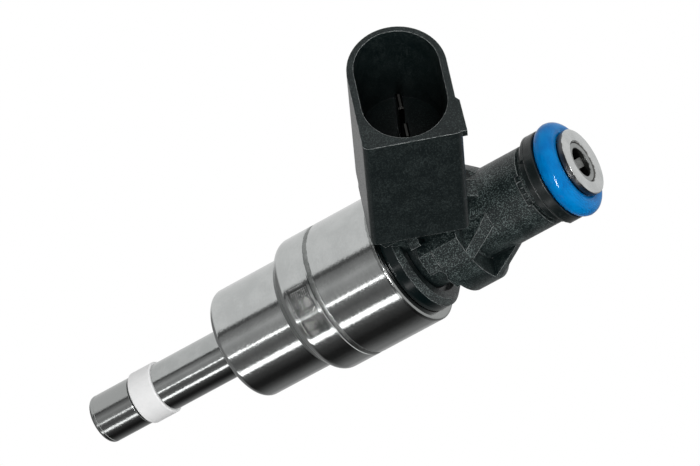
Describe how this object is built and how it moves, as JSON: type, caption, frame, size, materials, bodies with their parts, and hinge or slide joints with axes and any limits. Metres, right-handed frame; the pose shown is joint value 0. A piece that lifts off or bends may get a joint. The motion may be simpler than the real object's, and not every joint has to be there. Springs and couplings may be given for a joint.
{
  "type": "fuel injector",
  "caption": "Slim solenoid fuel injector with a long nozzle, stepped steel body, slanted electrical socket, clip flange and an O-ring sealed inlet.",
  "frame": {"origin": "on the injector's axis, in the plane of the shoulder that rests in the cylinder head", "axes": "+Z along the axis towards the fuel inlet, +X towards the side that the electrical socket leans to"},
  "size_m": [0.052, 0.0208, 0.0877],
  "materials": {
    "steel_satin": "satin turned steel",
    "steel_fine": "fine ground steel",
    "steel_soft": "plain soft magnetic steel",
    "steel_spring": "spring steel wire",
    "copper": "enamelled copper wire",
    "tinned": "tinned copper alloy",
    "plastic_black": "glass-filled nylon, satin black",
    "plastic_collar": "hard plastic, black",
    "plastic_white": "PTFE",
    "bobbin_plastic": "natural nylon",
    "rubber_blue": "fluorosilicone, glossy",
    "rubber_black": "black elastomer",
    "mesh_steel": "fine woven steel mesh"
  },
  "bodies": {
    "body": {"nozzle_body": "steel_satin", "valve_seat": "steel_fine", "swirl_disc": "steel_fine", "lower_guide_disc": "steel_fine", "combustion_seal": "plastic_white", "nozzle_seal_ring": "rubber_black", "outer_pole": "steel_satin", "upper_guide_disc": "steel_fine", "lift_shim": "steel_fine", "coil_housing": "steel_satin", "pole_spacer_ring": "steel_fine", "coil_bobbin": "bobbin_plastic", "coil_winding": "copper", "coil_leads": "copper", "coil_cover_ring": "steel_soft", "inner_pole": "steel_soft", "inlet_tube": "steel_satin", "inlet_head": "steel_satin", "adjusting_sleeve": "steel_spring", "filter_ring": "steel_fine", "filter_cage": "bobbin_plastic", "filter_mesh": "mesh_steel", "return_spring": "steel_spring", "terminal_pin_left": "tinned", "terminal_pin_right": "tinned", "overmould": "plastic_black", "support_ring": "plastic_collar", "backup_ring": "plastic_collar", "rail_o_ring": "rubber_blue"},
    "needle": {"valve_needle": "steel_fine", "needle_ball": "steel_fine", "needle_upper_flange": "steel_fine", "needle_lower_flange": "steel_fine", "damping_ring": "rubber_black"},
    "armature": {"armature": "steel_soft"}
  },
  "joints": [
    {"name": "needle_lift", "type": "slide", "parent": "body", "child": "needle", "axis": [0, 0, 1], "range_m": [0, 0.00007], "stiffness_N_per_m": 20000, "springref_m": -0.0015, "deforming": ["return_spring"]},
    {"name": "armature_travel", "type": "slide", "parent": "needle", "child": "armature", "axis": [0, 0, 1], "range_m": [0, 0.00005]}
  ]
}
